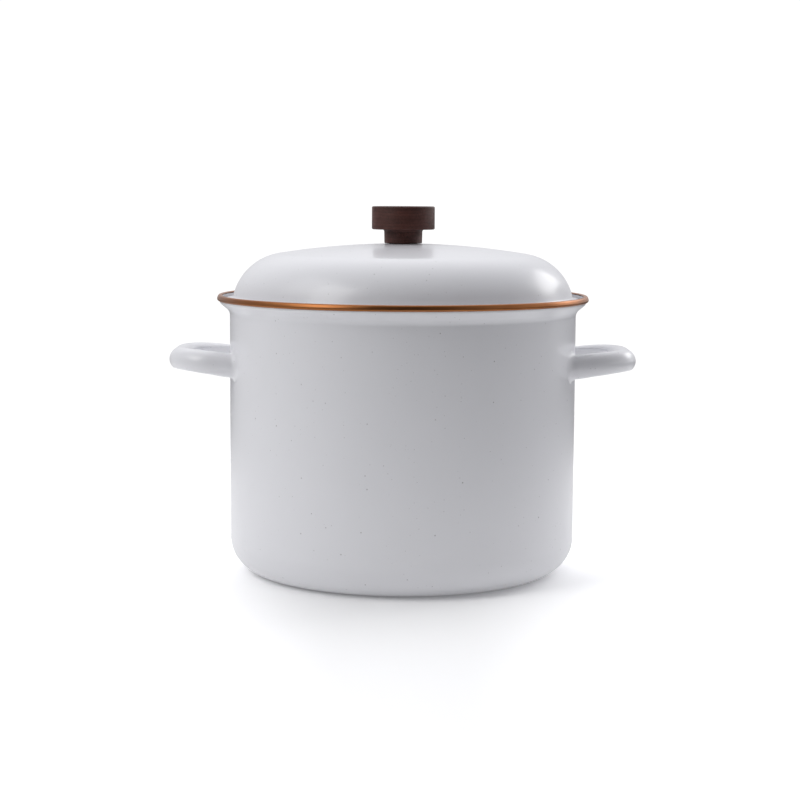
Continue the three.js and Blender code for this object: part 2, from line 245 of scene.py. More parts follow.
def end_cap(station, way):
    """Stations that round off a wire's end, from the wire outwards."""
    point, tangent, across, radius = station
    cap = []
    for k in range(1, CAP_STEPS + 1):
        angle = math.pi / 2 * k / CAP_STEPS
        reach = way * radius / 2 * math.sin(angle)
        tip = radius * math.cos(angle) + CAP_TIP_R
        cap.append((point + tangent * reach, tangent, across, tip))
    return cap


def wire(name, route, radius, closed=False, ends=True):
    """A round wire along a list of points, with rounded ends."""
    count = len(route)
    tangents = []
    for i in range(count):
        before = route[i - 1] if closed or i else route[0]
        after = route[(i + 1) % count] if closed or i + 1 < count else route[-1]
        tangents.append((after - before).normalized())
    across = tangents[0].orthogonal().normalized()
    stations = []
    for point, tangent in zip(route, tangents):
        across = (across - tangent * across.dot(tangent)).normalized()
        stations.append((point, tangent, across, radius))
    if ends and not closed:
        stations = [*end_cap(stations[0], -1)[::-1], *stations, *end_cap(stations[-1], 1)]
    turns = [2 * math.pi * k / WIRE_SIDES for k in range(WIRE_SIDES)]
    loops = []
    for point, tangent, across, r in stations:
        other = tangent.cross(across)
        loops.append([point + (across * math.cos(a) + other * math.sin(a)) * r for a in turns])
    return lofted(name, loops, closed)


def smooth_route(points, per_span):
    """A Catmull-Rom curve through the points."""
    padded = [points[0] * 2 - points[1], *points, points[-1] * 2 - points[-2]]
    route = []
    for i in range(1, len(padded) - 2):
        a, b, c, d = padded[i - 1 : i + 3]
        for k in range(per_span):
            t = k / per_span
            route.append(
                0.5 * (2 * b + (c - a) * t + (2 * a - 5 * b + 4 * c - d) * t**2
                       + (3 * b - a - 3 * c + d) * t**3)
            )
    route.append(padded[-2])
    return route


def settle(piece, body, slot, material, *nodes):
    """Gives a piece its material and body, and hides the CAD nodes that it stands for; its slot is
    not used.
    """
    piece.data.materials.append(material)
    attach(piece, body)
    if nodes:
        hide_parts(*nodes)


# ---------- materials ----------


class Recipe:
    """Short ways to add nodes to a node tree and join them."""

    def __init__(self, owner, coordinates="Object"):
        self.tree = owner.node_tree
        self.place = self.add("ShaderNodeTexCoord").outputs[coordinates]

    def add(self, kind, **settings):
        node = self.tree.nodes.new(kind)
        for key, value in settings.items():
            setattr(node, key, value)
        return node

    def join(self, source, target):
        self.tree.links.new(source, target)

    def feed(self, value, socket):
        """Links a socket to a socket, or sets a number on it."""
        if isinstance(value, bpy.types.NodeSocket):
            self.join(value, socket)
        else:
            socket.default_value = value

    def stretched(self, scale):
        node = self.add("ShaderNodeMapping")
        self.join(self.place, node.inputs["Vector"])
        node.inputs["Scale"].default_value = scale
        return node.outputs["Vector"]

    def noise(self, scale, detail, roughness=0.5, vector=None):
        node = self.add("ShaderNodeTexNoise")
        self.join(vector or self.place, node.inputs["Vector"])
        node.inputs["Scale"].default_value = scale
        node.inputs["Detail"].default_value = detail
        node.inputs["Roughness"].default_value = roughness
        return node.outputs["Fac"]

    def cells(self, scale):
        node = self.add("ShaderNodeTexVoronoi")
        self.join(self.place, node.inputs["Vector"])
        node.inputs["Scale"].default_value = scale
        return node

    def span(self, value, low, high, to_low=0.0, to_high=1.0):
        """Maps low..high to to_low..to_high, held at both ends."""
        node = self.add("ShaderNodeMapRange", interpolation_type="SMOOTHSTEP")
        self.join(value, node.inputs["Value"])
        ends = zip(("From Min", "From Max", "To Min", "To Max"), (low, high, to_low, to_high))
        for key, number in ends:
            node.inputs[key].default_value = number
        return node.outputs["Result"]

    def math(self, operation, a, b):
        node = self.add("ShaderNodeMath", operation=operation)
        self.feed(a, node.inputs[0])
        self.feed(b, node.inputs[1])
        return node.outputs["Value"]

    def mix(self, factor, a, b):
        """Blends two colours; a and b are sockets or RGB tuples."""
        node = self.add("ShaderNodeMix", data_type="RGBA")
        self.join(factor, node.inputs["Factor"])
        for value, socket in ((a, node.inputs[6]), (b, node.inputs[7])):
            self.feed((*value, 1) if isinstance(value, tuple) else value, socket)
        return node.outputs[2]

    def lobes(self, direction, lobes):
        """The sum of soft lobes given as (axis, sharpness, strength)."""
        total = 0.0
        for axis, sharpness, strength in lobes:
            dot = self.add("ShaderNodeVectorMath", operation="DOT_PRODUCT")
            self.join(direction, dot.inputs[0])
            dot.inputs[1].default_value = axis
            facing = self.math("MAXIMUM", dot.outputs["Value"], 0.0)
            lobe = self.math("MULTIPLY", self.math("POWER", facing, sharpness), strength)
            total = self.math("ADD", lobe, total)
        return total


class Finish(Recipe):
    """A new node material and its shader."""

    def __init__(self, name, **values):
        self.material = bpy.data.materials.new(name)
        self.material.use_nodes = True
        super().__init__(self.material)
        self.shader = self.tree.nodes["Principled BSDF"]
        for key, value in values.items():
            self.shader.inputs[key.replace("_", " ")].default_value = value

    def drive(self, **sources):
        for key, source in sources.items():
            self.join(source, self.shader.inputs[key.replace("_", " ")])

    def bump(self, height, distance, strength, normal=None):
        node = self.add("ShaderNodeBump")
        self.join(height, node.inputs["Height"])
        node.inputs["Distance"].default_value = distance
        node.inputs["Strength"].default_value = strength
        if normal is not None:
            self.join(normal, node.inputs["Normal"])
        return node.outputs["Normal"]


# Each layer of specks: cells per metre, smallest and largest speck as a share of its cell, and the
# share of the cells that stay clean.
SPECKS = ((230, 0.075, 0.16, 0.60), (360, 0.07, 0.14, 0.68))
SPECK_COLOUR = (0.13, 0.115, 0.11)


def enamel_material():
    """Eggshell-white vitreous enamel: sparse dark specks under a slightly wavy satin gloss."""
    finish = Finish("eggshell_enamel", IOR=1.5, Coat_Weight=0.35, Coat_Roughness=0.16)
    colour = finish.mix(finish.noise(14, 2), (0.782, 0.784, 0.813), (0.810, 0.811, 0.842))
    for scale, small, large, keep in SPECKS:
        cells = finish.cells(scale)
        traits = finish.add("ShaderNodeSeparateColor")
        finish.join(cells.outputs["Color"], traits.inputs["Color"])
        size = finish.span(traits.outputs["Red"], 0, 1, small, large)
        spread = finish.math("DIVIDE", cells.outputs["Distance"], size)
        depth = finish.math("SUBTRACT", 1.0, spread)
        dot = finish.span(depth, 0.0, 0.6)
        kept = finish.span(traits.outputs["Green"], keep, 1.0, 0, 0.6)
        colour = finish.mix(finish.math("MULTIPLY", dot, kept), colour, SPECK_COLOUR)
    waved = finish.bump(finish.noise(55, 1.0), 0.2 * MM, 0.4)
    peeled = finish.bump(finish.noise(420, 1.0), 0.02 * MM, 0.4, waved)
    gloss = finish.span(finish.noise(30, 2), 0, 1, 0.285, 0.36)
    finish.drive(Base_Color=colour, Normal=peeled, Roughness=gloss)
    return finish.material


def copper_material():
    """Polished copper-coloured metal with fine marks round the rim and slight tarnish."""
    finish = Finish("rim_copper", Metallic=1.0)
    drawn = finish.noise(60, 4, 0.6, finish.stretched((1, 1, 40)))
    tarnish = finish.span(finish.noise(38, 4, 0.6), 0.2, 0.8)
    finish.drive(
        Base_Color=finish.mix(tarnish, (0.35, 0.138, 0.050), (0.28, 0.106, 0.037)),
        Roughness=finish.span(drawn, 0.2, 0.8, 0.29, 0.40),
        Normal=finish.bump(drawn, 0.03 * MM, 0.4),
    )
    return finish.material


def walnut_material():
    """Dark oiled walnut, its grain along X, with open pores and faint turning marks."""
    finish = Finish("walnut", Specular_IOR_Level=0.3)
    figure = finish.noise(2.2, 3, 0.55, finish.stretched((9, 60, 60)))
    bands = finish.add("ShaderNodeTexWave", wave_type="BANDS", bands_direction="Z")
    finish.join(finish.stretched((0.15, 0.6, 1)), bands.inputs["Vector"])
    for key, value in (("Scale", 130), ("Distortion", 7), ("Detail", 3), ("Detail Scale", 1.4)):
        bands.inputs[key].default_value = value
    streaks = finish.span(figure, 0.2, 0.8)
    heart = finish.mix(streaks, (0.118, 0.043, 0.033), (0.055, 0.019, 0.0145))
    late_wood = finish.span(bands.outputs["Fac"], 0.3, 1.0, 0, 0.3)
    banded = finish.mix(late_wood, heart, (0.034, 0.0125, 0.010))
    pores = finish.noise(34, 2, 0.6, finish.stretched((4, 55, 55)))
    pitted = finish.mix(finish.span(pores, 0.60, 0.72, 0, 0.7), banded, (0.016, 0.0075, 0.0055))
    turning = finish.noise(900, 1, 0.5, finish.stretched((0.01, 0.01, 1)))
    grained = finish.bump(finish.span(pores, 0.55, 0.72, 1, 0), 0.08 * MM, 0.7)
    finish.drive(
        Base_Color=pitted,
        Normal=finish.bump(turning, 0.03 * MM, 0.35, grained),
        Roughness=finish.span(figure, 0.2, 0.8, 0.42, 0.56),
    )
    return finish.material


def metal_material(name, light, dark, smooth, rough, grain):
    """A bare metal: two close tones, roughness from smooth to rough, marks stretched by grain."""
    finish = Finish(name, Metallic=1.0)
    marks = finish.noise(80, 4, 0.6, finish.stretched(grain))
    finish.drive(
        Base_Color=finish.mix(finish.span(finish.noise(45, 3), 0.2, 0.8), light, dark),
        Roughness=finish.span(marks, 0.2, 0.8, smooth, rough),
        Normal=finish.bump(marks, 0.02 * MM, 0.5),
    )
    return finish.material


def silicone_material():
    """Matt grey silicone with a fine moulded texture."""
    finish = Finish("grey_silicone")
    tone = finish.noise(120, 3)
    finish.drive(
        Base_Color=finish.mix(tone, (0.29, 0.29, 0.30), (0.37, 0.37, 0.38)),
        Roughness=finish.span(tone, 0, 1, 0.6, 0.72),
        Normal=finish.bump(finish.noise(2600, 2), 0.02 * MM, 0.6),
    )
    return finish.material


enamel = enamel_material()
copper = copper_material()
walnut = walnut_material()
brass = metal_material(
    "turned_brass", (0.75, 0.56, 0.26), (0.66, 0.48, 0.21), 0.29, 0.40, (1, 1, 12)
)
fixing_steel = metal_material(
    "turned_steel", (0.60, 0.60, 0.61), (0.52, 0.52, 0.53), 0.29, 0.38, (1, 1, 12)
)
wire_steel = metal_material(
    "bright_wire", (0.68, 0.68, 0.69), (0.60, 0.60, 0.61), 0.10, 0.22, (3, 3, 3)
)
silicone = silicone_material()


# ---------- pot ----------

_, shell_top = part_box("pot_shell")
_, band_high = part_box("rim_band")
lip_r = shell_top.x
band_centre_r = lip_r - POT_SHEET / 2
band_reach = band_high.x - band_centre_r
band_centre_z = band_high.z - band_reach
band_power = BAND_SQUARENESS / (BAND_SQUARENESS - 1)
band_bulge = math.cos(BAND_TILT) ** band_power + math.sin(BAND_TILT) ** band_power
band_bulge **= 1 / band_power
band_r = band_reach / band_bulge  # the leaning corners reach past the bead's own radius


def pot_outline():
    """The pot's outside, from the middle of the base to the top of the lip."""
    cove_centre_r = POT_R + COVE_R
    cove_end_r = cove_centre_r - COVE_R * math.cos(COVE_TURN)
    cove_end_z = COVE_START_Z + COVE_R * math.sin(COVE_TURN)
    upturn_r = cove_end_r + FLARE_LENGTH * math.sin(COVE_TURN) - UPTURN_R * math.cos(COVE_TURN)
    upturn_z = cove_end_z + FLARE_LENGTH * math.cos(COVE_TURN) + UPTURN_R * math.sin(COVE_TURN)
    corner_r = POT_R - BASE_CORNER_R
    return [
        (0, BASE_RISE),
        (BASE_PAN_R * 0.5, BASE_RISE),
        (BASE_PAN_R, BASE_RISE),
        (BASE_PAN_R + BASE_EASE, BASE_RISE * 0.9),
        (FOOT_INNER_R - BASE_EASE, BASE_RISE * 0.1),
        (FOOT_INNER_R, 0),
        *arc(corner_r, BASE_CORNER_R, BASE_CORNER_R, -math.pi / 2, 0, 28),
        *[(POT_R, BASE_CORNER_R + (COVE_START_Z - BASE_CORNER_R) * k / 12) for k in range(1, 12)],
        *arc(cove_centre_r, COVE_START_Z, COVE_R, math.pi, math.pi - COVE_TURN, 18),
        *arc(upturn_r, upturn_z, UPTURN_R, -COVE_TURN, 0, 12),
        (lip_r, shell_top.z),
    ]


def bead(radius, start, end, steps):
    """The rim band's section: round towards the pot, flatter on its outer face."""
    outline = []
    for x, z in arc(0, 0, 1, start, end, steps):
        across = x * math.cos(BAND_TILT) + z * math.sin(BAND_TILT)
        along = z * math.cos(BAND_TILT) - x * math.sin(BAND_TILT)
        power = BAND_SQUARENESS if across > 0 else 2
        reach = radius / (abs(across) ** power + abs(along) ** power) ** (1 / power)
        outline.append((band_centre_r + x * reach, band_centre_z + z * reach))
    return outline


def make_pot():
    body = lathe("pot_enamelled_body", sheet(pot_outline(), POT_SHEET), ROUND_STEPS)
    settle(body, "pot", "enamel", enamel, "pot_shell")

    outside = bead(band_r, BAND_OUTER_END, BAND_INNER_END, 48)
    inside = bead(band_r - BAND_SHEET, BAND_INNER_END, BAND_OUTER_END, 28)
    band = lathe("rim_copper_band", outside + inside, ROUND_STEPS)
    settle(band, "pot", "rim_copper", copper, "rim_band")


def strap_section(points=44):
    """(u, v) round the strap: a bulging outer face (+u) and a nearly flat inner one."""
    section = []
    for k in range(points):
        angle = -math.pi / 2 + 2 * math.pi * k / points
        across = math.cos(angle)
        depth = STRAP_CROWN * across if across > 0 else -STRAP_BACK * abs(across) ** 0.5
        section.append(Vector((depth, STRAP_H / 2 * math.sin(angle))))
    return section


def section_normals(section):
    normals = []
    for k in range(len(section)):
        tangent = section[(k + 1) % len(section)] - section[k - 1]
        normals.append(Vector((tangent.y, -tangent.x)).normalized())
    return normals


def handle_stations():
    """(out, x, y, heading) along the right-hand loop; out is 0 at the wall, 1 past the arms."""
    corner_x = HANDLE_REACH - HANDLE_CORNER_R
    corner_y = HANDLE_HALF_SPAN - HANDLE_CORNER_R

    def corner(centre_y, start):
        points = arc(
            corner_x, centre_y, HANDLE_CORNER_R, start, start + math.pi / 2, CORNER_STEPS
        )
        return [(1, *p, start + math.pi / 2 * k / CORNER_STEPS) for k, p in enumerate(points)]

    arm = [k / ARM_STEPS for k in range(ARM_STEPS)]
    grip = [corner_y * (2 * k / GRIP_STEPS - 1) for k in range(1, GRIP_STEPS)]
    return [
        *[(out, corner_x, -HANDLE_HALF_SPAN, -math.pi / 2) for out in arm],
        *corner(-corner_y, -math.pi / 2),
        *[(1, HANDLE_REACH, y, 0) for y in grip],
        *corner(corner_y, 0),
        *[(out, corner_x, HANDLE_HALF_SPAN, math.pi / 2) for out in arm[::-1]],
    ]


def handle_rings():
    """Sections along the right-hand loop, from the wall out, round the grip and back."""
    corner_x = HANDLE_REACH - HANDLE_CORNER_R
    section = strap_section()
    normals = section_normals(section)
    embed_r = POT_R - POT_SHEET / 2
    rings = []
    for out, x, y, heading in handle_stations():
        out = out**1.5  # closer together near the wall
        centre_x = HANDLE_START_X + (x - HANDLE_START_X) * out if x <= corner_x else x
        blend = min(max((centre_x - HANDLE_START_X) / (HANDLE_REACH - HANDLE_START_X), 0), 1)
        blend = blend * blend * (3 - 2 * blend)
        lean = HANDLE_ROOT_LEAN + (HANDLE_GRIP_LEAN - HANDLE_ROOT_LEAN) * blend
        height = HANDLE_ROOT_Z + (HANDLE_GRIP_Z - HANDLE_ROOT_Z) * blend
        outward = Vector((math.cos(heading), math.sin(heading), 0))
        ring = []
        for point, normal in zip(section, normals):
            fillet = 0.0
            for _ in range(2):  # the second pass widens the strap by the weld's fillet
                u, v = point + normal * fillet
                spot = Vector((x, y, height)) + outward * (u * math.cos(lean) - v * math.sin(lean))
                spot.z += u * math.sin(lean) + v * math.cos(lean)
                if out < 1:
                    wall_x = math.sqrt(embed_r**2 - spot.y**2)
                    spot.x = wall_x + (corner_x - wall_x) * out
                away = math.hypot(spot.x, spot.y) - POT_R
                inset = min(WELD_FILLET_R - max(away, 0), WELD_FILLET_R)
                inset = max(inset, 0)
                fillet = WELD_FILLET_R - math.sqrt(WELD_FILLET_R**2 - inset**2)
            ring.append(spot)
        rings.append(ring)
    return rings


def make_handles():
    rings = handle_rings()
    for side, turn in (("right", 0), ("left", math.pi)):
        spin = Matrix.Rotation(turn, 4, "Z")
        handle = lofted(f"handle_strap_{side}", [[spin @ p for p in ring] for ring in rings])
        settle(handle, "pot", "enamel", enamel, f"handle_{side}")


# ---------- lid ----------

lid_low, lid_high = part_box("lid_shell")
knob_low, knob_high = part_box("knob")


def lid_outline():
    """The lid's outside, from the foot of its turned-down edge up to the middle hole."""
    start = math.asin(SHOULDER_START_R / CROWN_R)
    crown_z = lid_high.z - CROWN_R
    hole_angle = math.pi / 2 - LID_HOLE_R / CROWN_R
    crown = arc(0, crown_z, CROWN_R, math.pi / 2 - start, hole_angle, 24)
    shoulder = arc(
        (CROWN_R - SHOULDER_R) * math.sin(start),
        crown_z + (CROWN_R - SHOULDER_R) * math.cos(start),
        SHOULDER_R,
        math.pi / 2 - SHOULDER_END,
        math.pi / 2 - start,
        40,
    )
    foot_x, foot_z = shoulder[0]
    fillet = arc(
        foot_x + LID_FOOT_FILLET_R * math.sin(SHOULDER_END),
        foot_z + LID_FOOT_FILLET_R * math.cos(SHOULDER_END),
        LID_FOOT_FILLET_R,
        3 * math.pi / 2 - FLANGE_SLOPE,
        3 * math.pi / 2 - SHOULDER_END,
        10,
    )
    flange_x = fillet[0][0] + FLANGE_WIDTH * math.cos(FLANGE_SLOPE)
    flange_z = fillet[0][1] - FLANGE_WIDTH * math.sin(FLANGE_SLOPE)
    edge = arc(
        flange_x - LID_EDGE_R * math.sin(FLANGE_SLOPE),
        flange_z - LID_EDGE_R * math.cos(FLANGE_SLOPE),
        LID_EDGE_R,
        0,
        math.pi / 2 - FLANGE_SLOPE,
        10,
    )
    return [(edge[0][0], lid_low.z), *edge, *fillet, *shoulder[1:], *crown[1:]]


def knob_outline(insert_low, insert_high):
    """The turned knob: a blind stepped bore, the neck, and the disc with eased edges."""
    base = knob_low.z
    top = knob_high.z
    disc_z = base + KNOB_NECK_TOP
    disc_r = knob_high.x
    ease = KNOB_ROUNDING
    bore_r = INSERT_R + KNOB_CLEARANCE
    bore_top = insert_high.z + 1.5 * MM
    collar_r = insert_high.x + KNOB_CLEARANCE
    collar_z = insert_low.z + INSERT_COLLAR_H + KNOB_CLEARANCE
    cove_r = KNOB_NECK_R + 0.15 * MM + KNOB_COVE_R
    return [
        (0, bore_top),
        (bore_r, bore_top),
        (bore_r, collar_z),
        (collar_r, collar_z),
        (collar_r, base),
        (KNOB_NECK_R - 0.4 * MM, base),
        (KNOB_NECK_R, base + 0.4 * MM),
        (KNOB_NECK_R + 0.15 * MM, disc_z - 2.2 * MM),
        *arc(cove_r, disc_z - KNOB_COVE_R, KNOB_COVE_R, math.pi, math.pi / 2, 8),
        *arc(disc_r - ease, disc_z + ease, ease, -math.pi / 2, 0, 8),
        *arc(disc_r - ease, top - ease, ease, 0, math.pi / 2 - 0.03, 8),
        (disc_r * 0.6, top - 0.02 * MM),
        (0, top),
    ]


def column(radius, low, high, rows):
    """Points straight up a cylinder's side, close enough together to carry a thread."""
    return [(radius, low + (high - low) * k / rows) for k in range(rows + 1)]


def cut_thread(piece, radius, low, high, pitch, depth):
    """Cuts a screw thread into a lathe's cylinder of that radius, from low to high."""
    for vertex in piece.data.vertices:
        x, y, z = vertex.co
        if abs(math.hypot(x, y) - radius) < 1e-6 and low < z < high:
            phase = (z / pitch - math.atan2(y, x) / (2 * math.pi)) % 1
            fade = min((z - low) / pitch, (high - z) / pitch, 1)
            grow = 1 - depth / radius * fade * abs(2 * phase - 1)
            vertex.co = (x * grow, y * grow, z)


def make_insert(low, high):
    """The flanged brass insert: threaded outside, plain bore."""
    collar_r = high.x
    collar_top = low.z + INSERT_COLLAR_H
    insert = lathe(
        "brass_threaded_insert",
        [
            (INSERT_BORE_R, low.z),
            (collar_r - INSERT_CHAMFER, low.z),
            (collar_r, low.z + INSERT_CHAMFER),
            (collar_r, collar_top - INSERT_CHAMFER),
            (collar_r - INSERT_CHAMFER, collar_top),
            *column(INSERT_R, collar_top, high.z, 90),
            (INSERT_BORE_R, high.z),
        ],
        SMALL_STEPS,
    )
    cut_thread(insert, INSERT_R, collar_top, high.z, INSERT_PITCH, INSERT_THREAD)
    settle(insert, "lid", "insert_brass", brass, "knob_insert")


def make_screw(head_top):
    """The pan-head screw, its recess facing down, its point chamfered by one pitch."""
    low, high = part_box("knob_screw")
    head_r = high.x
    ease = 0.15 * MM
    round_x = head_r - SCREW_HEAD_ROUNDING
    round_z = low.z + SCREW_HEAD_ROUNDING + 0.05 * MM
    thread_top = high.z - SCREW_PITCH
    screw = lathe(
        "pan_head_screw",
        [
            (0, low.z + SCREW_RECESS_DEPTH),
            (SCREW_RECESS_R * 0.8, low.z + SCREW_RECESS_DEPTH),
            (SCREW_RECESS_R, low.z),
            (head_r * 0.62, low.z + 0.05 * MM),
            *arc(round_x, round_z, SCREW_HEAD_ROUNDING, -math.pi / 2, 0, 10),
            (head_r, head_top - ease),
            (head_r - ease, head_top),
            *column(SCREW_SHANK_R, head_top, thread_top, 150),
            (SCREW_SHANK_R - SCREW_PITCH, high.z),
            (0, high.z),
        ],
        SMALL_STEPS,
    )
    plain_top = head_top + 1.0 * MM
    cut_thread(screw, SCREW_SHANK_R, plain_top, thread_top, SCREW_PITCH, SCREW_THREAD)
    settle(screw, "lid", "fixing_steel", fixing_steel, "knob_screw")


def make_flat_ring(name, low, high, slot, material, node):
    """A flat ring with softened corners: the washer or the gasket."""
    section = [(WASHER_BORE_R, low.z), (high.x, low.z), (high.x, high.z), (WASHER_BORE_R, high.z)]
    ring = lathe(name, rounded(section, WASHER_ROUNDING), SMALL_STEPS)
    settle(ring, "lid", slot, material, node)


def make_lid():
    dome = lathe("lid_enamelled_dome", sheet(lid_outline(), LID_SHEET), ROUND_STEPS)
    settle(dome, "lid", "enamel", enamel, "lid_shell")

    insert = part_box("knob_insert")
    knob = lathe("walnut_knob", knob_outline(*insert), KNOB_STEPS)
    settle(knob, "lid", "knob_wood", walnut, "knob")
    make_insert(*insert)

    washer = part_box("knob_washer")
    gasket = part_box("knob_gasket")
    make_screw(washer[0].z - KNOB_CLEARANCE)
    make_flat_ring("steel_washer", *washer, "fixing_steel", fixing_steel, "knob_washer")
    make_flat_ring("silicone_gasket", *gasket, "gasket_silicone", silicone, "knob_gasket")


# ---------- rack ----------


def on_circle(radius, angle, z):
    return Vector((radius * math.cos(angle), radius * math.sin(angle), z))


def make_rack_rings():
    """The concentric rings; returns their radii and the height of their middle."""
    radii = []
    for name in RACK_RINGS:
        low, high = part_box(name)
        radius = high.x - RING_WIRE_R
        level = (low.z + high.z) / 2
        radii.append(radius)
        steps = max(64, round(radius / MM * 2.4))
        route = [on_circle(radius, 2 * math.pi * k / steps, level) for k in range(steps)]
        ring = wire(f"{name}_wire", route, RING_WIRE_R, closed=True)
        settle(ring, "rack", "rack_steel", wire_steel, name)
    return radii, level


def make_spokes(radii, ring_top):
    """The radial wires; returns the spots where they are welded to the rings."""
    low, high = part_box("rack_spoke_1")
    level = (low.z + high.z) / 2
    welds = []
    for i in range(SPOKE_COUNT):
        angle = (i + 0.5) * 2 * math.pi / SPOKE_COUNT
        reaches = [SPOKE_FROM_R + (SPOKE_TO_R - SPOKE_FROM_R) * k / 8 for k in range(9)]
        route = [on_circle(reach, angle, level) for reach in reaches]
        spoke = wire(f"rack_spoke_wire_{i + 1}", route, SPOKE_WIRE_R)
        settle(spoke, "rack", "rack_steel", wire_steel, f"rack_spoke_{i + 1}")
        welds += [on_circle(radius, angle, ring_top + 0.15 * MM) for radius in radii]
    return welds


def make_feet(outer_r, level):
    """The bent wire feet under the outer ring; returns the spots where they are welded to it."""
    end_r = math.sqrt(outer_r**2 - FOOT_HALF_W**2)
    top_z = level - RING_WIRE_R - 0.3 * MM
    welds = []
    for i in range(FOOT_COUNT):
        low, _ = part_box(f"rack_foot_{i + 1}")
        bottom_z = low.z + RING_WIRE_R
        half = [
            Vector((end_r, FOOT_HALF_W, top_z)),
            Vector((end_r - 0.6 * MM, FOOT_HALF_W, top_z - 4 * MM)),
            Vector((FOOT_MIDDLE_R + 4 * MM, FOOT_HALF_W - 1 * MM, bottom_z + 3.2 * MM)),
            Vector((FOOT_MIDDLE_R + 0.6 * MM, FOOT_HALF_W - 5 * MM, bottom_z + 0.2 * MM)),
        ]
        mirrored = [Vector((p.x, -p.y, p.z)) for p in half]
        spin = Matrix.Rotation(2 * math.pi * i / FOOT_COUNT, 4, "Z")
        points = [*mirrored, Vector((FOOT_MIDDLE_R, 0, bottom_z)), *half[::-1]]
        route = [spin @ p for p in smooth_route(points, 8)]
        foot = wire(f"rack_foot_wire_{i + 1}", route, RING_WIRE_R, ends=False)
        settle(foot, "rack", "rack_steel", wire_steel, f"rack_foot_{i + 1}")
        welds += [route[0], route[-1]]
    return welds


def make_welds(spots):
    """Small flattened beads where the wires cross."""
    vertices = []
    faces = []
    around, along = 14, 8
    for spot in spots:
        base = len(vertices)
        for i in range(along + 1):
            tilt = -math.pi / 2 + math.pi * i / along
            flat = WELD_BEAD_R * math.cos(tilt)
            rise = WELD_BEAD_HALF_H * math.sin(tilt)
            for k in range(around):
                vertices.append(spot + on_circle(flat, 2 * math.pi * k / around, rise))
        for i in range(along):
            row = base + i * around
            for k in range(around):
                n = (k + 1) % around
                faces.append([row + k, row + n, row + around + n, row + around + k])
    settle(new_piece("rack_weld_beads", vertices, faces), "rack", "rack_steel", wire_steel)


def make_rack():
    radii, level = make_rack_rings()
    welds = make_spokes(radii, level + RING_WIRE_R)
    welds += make_feet(radii[0], level)
    make_welds(welds)


# ---------- studio ----------

CAMERA_AT = Vector((0, -1.361, 0.2673))
CAMERA_PITCH = math.radians(-6.22)
CAMERA_YAW = math.radians(0.07)
CAMERA_ROLL = math.radians(0.30)
CAMERA_LENS = 88.02
CAMERA_SENSOR = 36
CAMERA_CLIP = 0.01


def make_camera():
    data = bpy.data.cameras.new("camera")
    data.lens = CAMERA_LENS
    data.sensor_width = CAMERA_SENSOR
    data.clip_start = CAMERA_CLIP
    camera = bpy.data.objects.new("camera", data)
    camera.matrix_world = (
        Matrix.Translation(CAMERA_AT)
        @ Matrix.Rotation(CAMERA_YAW, 4, "Z")
        @ Matrix.Rotation(math.pi / 2 + CAMERA_PITCH, 4, "X")
        @ Matrix.Rotation(CAMERA_ROLL, 4, "Z")
    )
    bpy.context.scene.collection.objects.link(camera)
    bpy.context.scene.camera = camera


# How bright the unseen studio is: soft lobes as (axis, sharpness, strength). The camera itself
# sees white.
LEFT, RIGHT, FRONT, BACK, UP = (-1, 0, 0), (1, 0, 0), (0, -1, 0), (0, 1, 0), (0, 0, 1)
BACK_TOP = (0, 0.5, 0.87)
RIGHT_FRONT = (0.85, -0.53, 0.0)
SKY = [
    (LEFT, 2, 0.46),
    (RIGHT, 2, 0.94),
    (FRONT, 2, 0.04),
    (BACK, 2, 0.56),
    (BACK_TOP, 4, 1.38),
    (UP, 8, 0.44),
    (RIGHT_FRONT, 12, -0.25),  # a dark card
]
FAR_FLOOR = [(LEFT, 2, 0.56), (BACK, 2, 0.14)]  # the same for the floor beyond the studio's light
NEAR_GLOW = 0.13  # what the floor round the pot adds to its reflections, unseen by the camera
LIGHT_TINT = (0.97, 0.972, 1.0, 1.0)
SEEN_WHITE = 1.05
FLOOR_ALBEDO = 0.87
FLOOR_GRAIN = 0.01
FLOOR_FRONT_ALBEDO = 1.03  # seen by the camera the floor is exposed towards white; its sides get painted light that lifts their shade
FLOOR_SIDE_PAINTED_LIGHT = 1.37
FLOOR_SIDE_FROM = 0.03  # where the painted light on the floor's sides starts and is full, to either side of the pot's middle
FLOOR_SIDE_TO = 0.15
FLOOR_R = 6.0
FLOOR_NEAR_R = 0.34  # between these the floor fades into the surroundings
FLOOR_FAR_R = 0.95
LIGHT_AIM = Vector((0, 0, 0.12))
LIGHT_DISTANCE = 1.5
# Azimuth 0 is behind the camera, + to the right; then elevation, (width, height) and radiance.
SOFTBOXES = {
    "key_left": (-54, 36, (0.6, 0.9), 3.6),
    "fill_left": (-80, 44, (0.6, 0.8), 1.28),
    "kicker_right": (129, 26, (0.78, 0.42), 2.9),
    "strip_right": (118, 12, (0.5, 0.7), 0.95),
}


def make_world():
    """White where the camera looks; soft studio surroundings for the light."""
    world = bpy.data.worlds.new("studio")
    world.use_nodes = True
    world.node_tree.nodes.clear()
    recipe = Recipe(world, "Generated")
    seen = recipe.add("ShaderNodeBackground")
    seen.inputs["Color"].default_value = (1, 1, 1, 1)
    seen.inputs["Strength"].default_value = SEEN_WHITE
    light = recipe.add("ShaderNodeBackground")
    light.inputs["Color"].default_value = LIGHT_TINT
    recipe.join(recipe.lobes(recipe.place, SKY), light.inputs["Strength"])
    pick = recipe.add("ShaderNodeMixShader")
    recipe.join(recipe.add("ShaderNodeLightPath").outputs["Is Camera Ray"], pick.inputs["Fac"])
    recipe.join(light.outputs["Background"], pick.inputs[1])
    recipe.join(seen.outputs["Background"], pick.inputs[2])
    recipe.join(pick.outputs["Shader"], recipe.add("ShaderNodeOutputWorld").inputs["Surface"])
    bpy.context.scene.world = world


